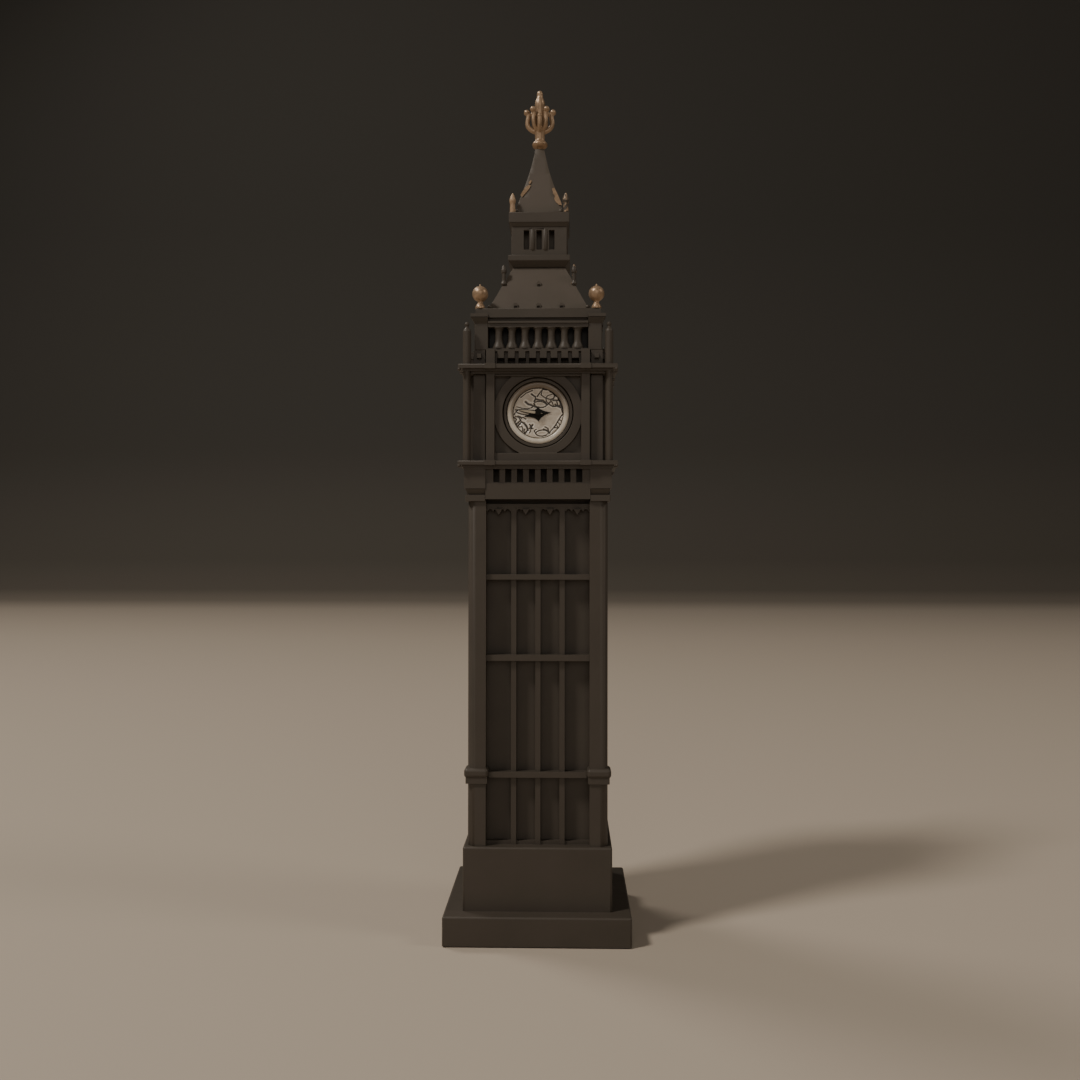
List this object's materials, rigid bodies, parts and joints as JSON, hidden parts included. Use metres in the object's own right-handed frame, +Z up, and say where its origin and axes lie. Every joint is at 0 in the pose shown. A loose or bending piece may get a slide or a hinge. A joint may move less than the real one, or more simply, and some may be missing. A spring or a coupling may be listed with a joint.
{
  "type": "miniature landmark model",
  "caption": "Free-standing miniature clock tower with a square traceried shaft, a four-faced clock stage, a belfry, a steep spire with gilded finials, and a small working clock insert.",
  "frame": {"origin": "centre of the base's underside, where the tower stands", "axes": "+Z up the tower's axis, -Y towards the face with the working clock"},
  "size_m": [0.0634, 0.0634, 0.3],
  "materials": {
    "bronze_paint": "satin",
    "gold_paint": "satin",
    "bezel_paint": "satin",
    "dial_card": "matte",
    "hand_black": "matte",
    "steel": "satin",
    "brass": "satin",
    "black_plastic": "matte",
    "clear_rubber": "satin",
    "baize": "matte"
  },
  "bodies": {
    "tower": {"baize_pad": "baize", "ball_finials": "gold_paint", "balustrade_back": "bronze_paint", "balustrade_front": "bronze_paint", "balustrade_left": "bronze_paint", "balustrade_right": "bronze_paint", "base_block": "bronze_paint", "base_slab": "bronze_paint", "belfry_core": "bronze_paint", "belfry_piers": "bronze_paint", "clock_case": "bronze_paint", "clock_frame_back": "bronze_paint", "clock_frame_front": "bronze_paint", "clock_frame_left": "bronze_paint", "clock_frame_right": "bronze_paint", "corbel_band": "bronze_paint", "corner_pier_back_left": "bronze_paint", "corner_pier_back_right": "bronze_paint", "corner_pier_front_left": "bronze_paint", "corner_pier_front_right": "bronze_paint", "corner_post_back_left": "bronze_paint", "corner_post_back_right": "bronze_paint", "corner_post_front_left": "bronze_paint", "corner_post_front_right": "bronze_paint", "dentil_course": "bronze_paint", "finial": "gold_paint", "fixed_dials": "dial_card", "lantern_base": "bronze_paint", "lantern_body": "bronze_paint", "lantern_cornice": "bronze_paint", "lantern_pinnacles": "gold_paint", "lower_ledge": "bronze_paint", "lower_roof": "bronze_paint", "pier_capitals": "bronze_paint", "roof_cornice": "bronze_paint", "roof_pinnacles": "bronze_paint", "shaft_core": "bronze_paint", "spire": "bronze_paint", "spire_leaves": "gold_paint", "tie_nut": "steel", "tie_rod": "steel", "tie_washer": "steel", "tracery_back": "bronze_paint", "tracery_front": "bronze_paint", "tracery_left": "bronze_paint", "tracery_right": "bronze_paint", "upper_ledge": "bronze_paint"},
    "clock_insert": {"bezel": "bezel_paint", "gasket": "clear_rubber", "dial": "dial_card", "movement_case": "black_plastic", "movement_back": "black_plastic", "battery_cell": "steel"},
    "setting_shaft": {"setting_wheel": "brass", "setting_knob": "black_plastic"},
    "minute_arbor": {"cannon_pinion": "brass", "minute_hand": "hand_black", "hand_cap": "hand_black"},
    "hour_pipe": {"hour_wheel": "brass", "hour_hand": "hand_black"}
  },
  "joints": [
    {"name": "insert_slide", "type": "slide", "parent": "tower", "child": "clock_insert", "axis": [0, -1, 0], "range_m": [0, 0.014]},
    {"name": "setting_spin", "type": "hinge", "parent": "clock_insert", "child": "setting_shaft", "pos_m": [0.0036, -0.0139, 0.1798], "axis": [0, 1, 0], "continuous": true},
    {"name": "minute_spin", "type": "hinge", "parent": "clock_insert", "child": "minute_arbor", "pos_m": [0, -0.018, 0.1798], "axis": [0, 1, 0], "continuous": true},
    {"name": "hour_spin", "type": "hinge", "parent": "clock_insert", "child": "hour_pipe", "pos_m": [0, -0.0195, 0.1798], "axis": [0, 1, 0], "continuous": true}
  ],
  "couplings": [
    {"joint": "minute_spin", "follows": "setting_spin", "ratio": -3},
    {"joint": "hour_spin", "follows": "setting_spin", "ratio": -0.25}
  ]
}
